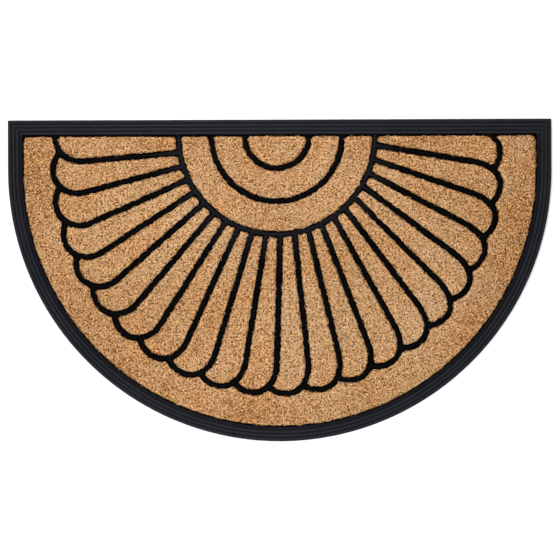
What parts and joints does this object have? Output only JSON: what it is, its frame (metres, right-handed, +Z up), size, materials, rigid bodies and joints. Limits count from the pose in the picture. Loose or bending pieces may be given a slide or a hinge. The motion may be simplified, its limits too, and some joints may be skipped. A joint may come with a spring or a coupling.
{
  "type": "half-round coir doormat",
  "caption": "Half-round entrance mat: moulded rubber tray with a ribbed rim and raised fan lines, filled with short coir pile.",
  "frame": {"origin": "on the surface it lies on, under the middle of the mat's bounding box", "axes": "+X along the straight edge, to the right when the straight edge is at the top; +Y towards the straight edge; +Z up out of the pile"},
  "size_m": [0.75, 0.444, 0.01],
  "materials": {
    "rubber": "charcoal-black moulded rubber, semi-matte, faintly blue, lighter on the rib crests",
    "coir": "golden-tan coir pile, short, dense and bristly, with lighter and dark-brown specks"
  },
  "bodies": {
    "root": {"rubber_tray": "rubber", "coir_centre": "coir", "coir_ring_1": "coir", "coir_ring_2": "coir", "coir_petal_01": "coir", "coir_petal_02": "coir", "coir_petal_03": "coir", "coir_petal_04": "coir", "coir_petal_05": "coir", "coir_petal_06": "coir", "coir_petal_07": "coir", "coir_petal_08": "coir", "coir_petal_09": "coir", "coir_petal_10": "coir", "coir_petal_11": "coir", "coir_petal_12": "coir", "coir_petal_13": "coir", "coir_petal_14": "coir", "coir_petal_15": "coir", "coir_petal_16": "coir", "coir_petal_17": "coir", "coir_petal_18": "coir", "coir_petal_19": "coir", "coir_petal_20": "coir", "coir_petal_21": "coir", "coir_petal_22": "coir", "coir_border": "coir"}
  },
  "joints": []
}
